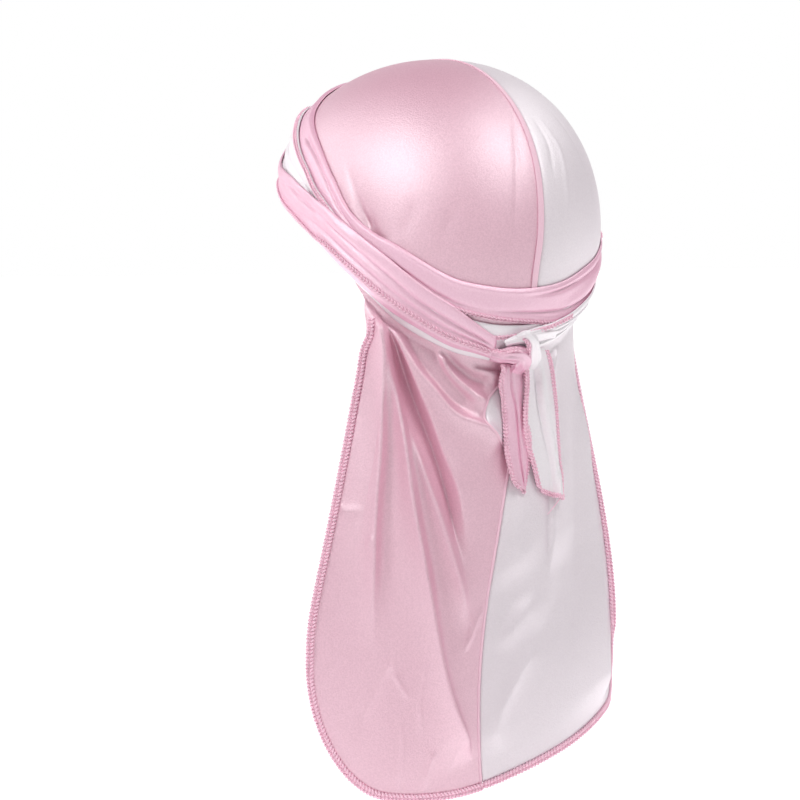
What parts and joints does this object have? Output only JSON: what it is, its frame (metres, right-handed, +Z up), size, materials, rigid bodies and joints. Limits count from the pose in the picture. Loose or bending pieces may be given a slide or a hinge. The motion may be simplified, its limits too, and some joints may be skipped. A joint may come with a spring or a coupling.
{
  "type": "durag",
  "caption": "Two-tone satin durag in its tied shape: close crown with centre seam, long tail, wrapped straps and a knot with loose ends at the back, open below for the head.",
  "frame": {"origin": "inner top of the crown, where the top of the head touches it", "axes": "+Z up; the wearer looks along -Y, so the tail and knot are on the +Y side; +X is the wearer's left, the pink half"},
  "size_m": [0.1884, 0.1952, 0.3809],
  "materials": {
    "pink_satin": "satin",
    "strap_satin": "satin",
    "white_satin": "satin",
    "pink_thread": "matt"
  },
  "bodies": {
    "root": {"left_panel": "pink_satin", "right_panel": "white_satin", "crown_seam": "pink_thread", "tail_seam": "pink_thread", "left_strap": "strap_satin", "right_strap": "white_satin", "knot": "strap_satin", "left_tie_end": "strap_satin", "right_tie_end": "white_satin", "left_hem": "pink_thread", "right_hem": "pink_thread"}
  },
  "joints": []
}
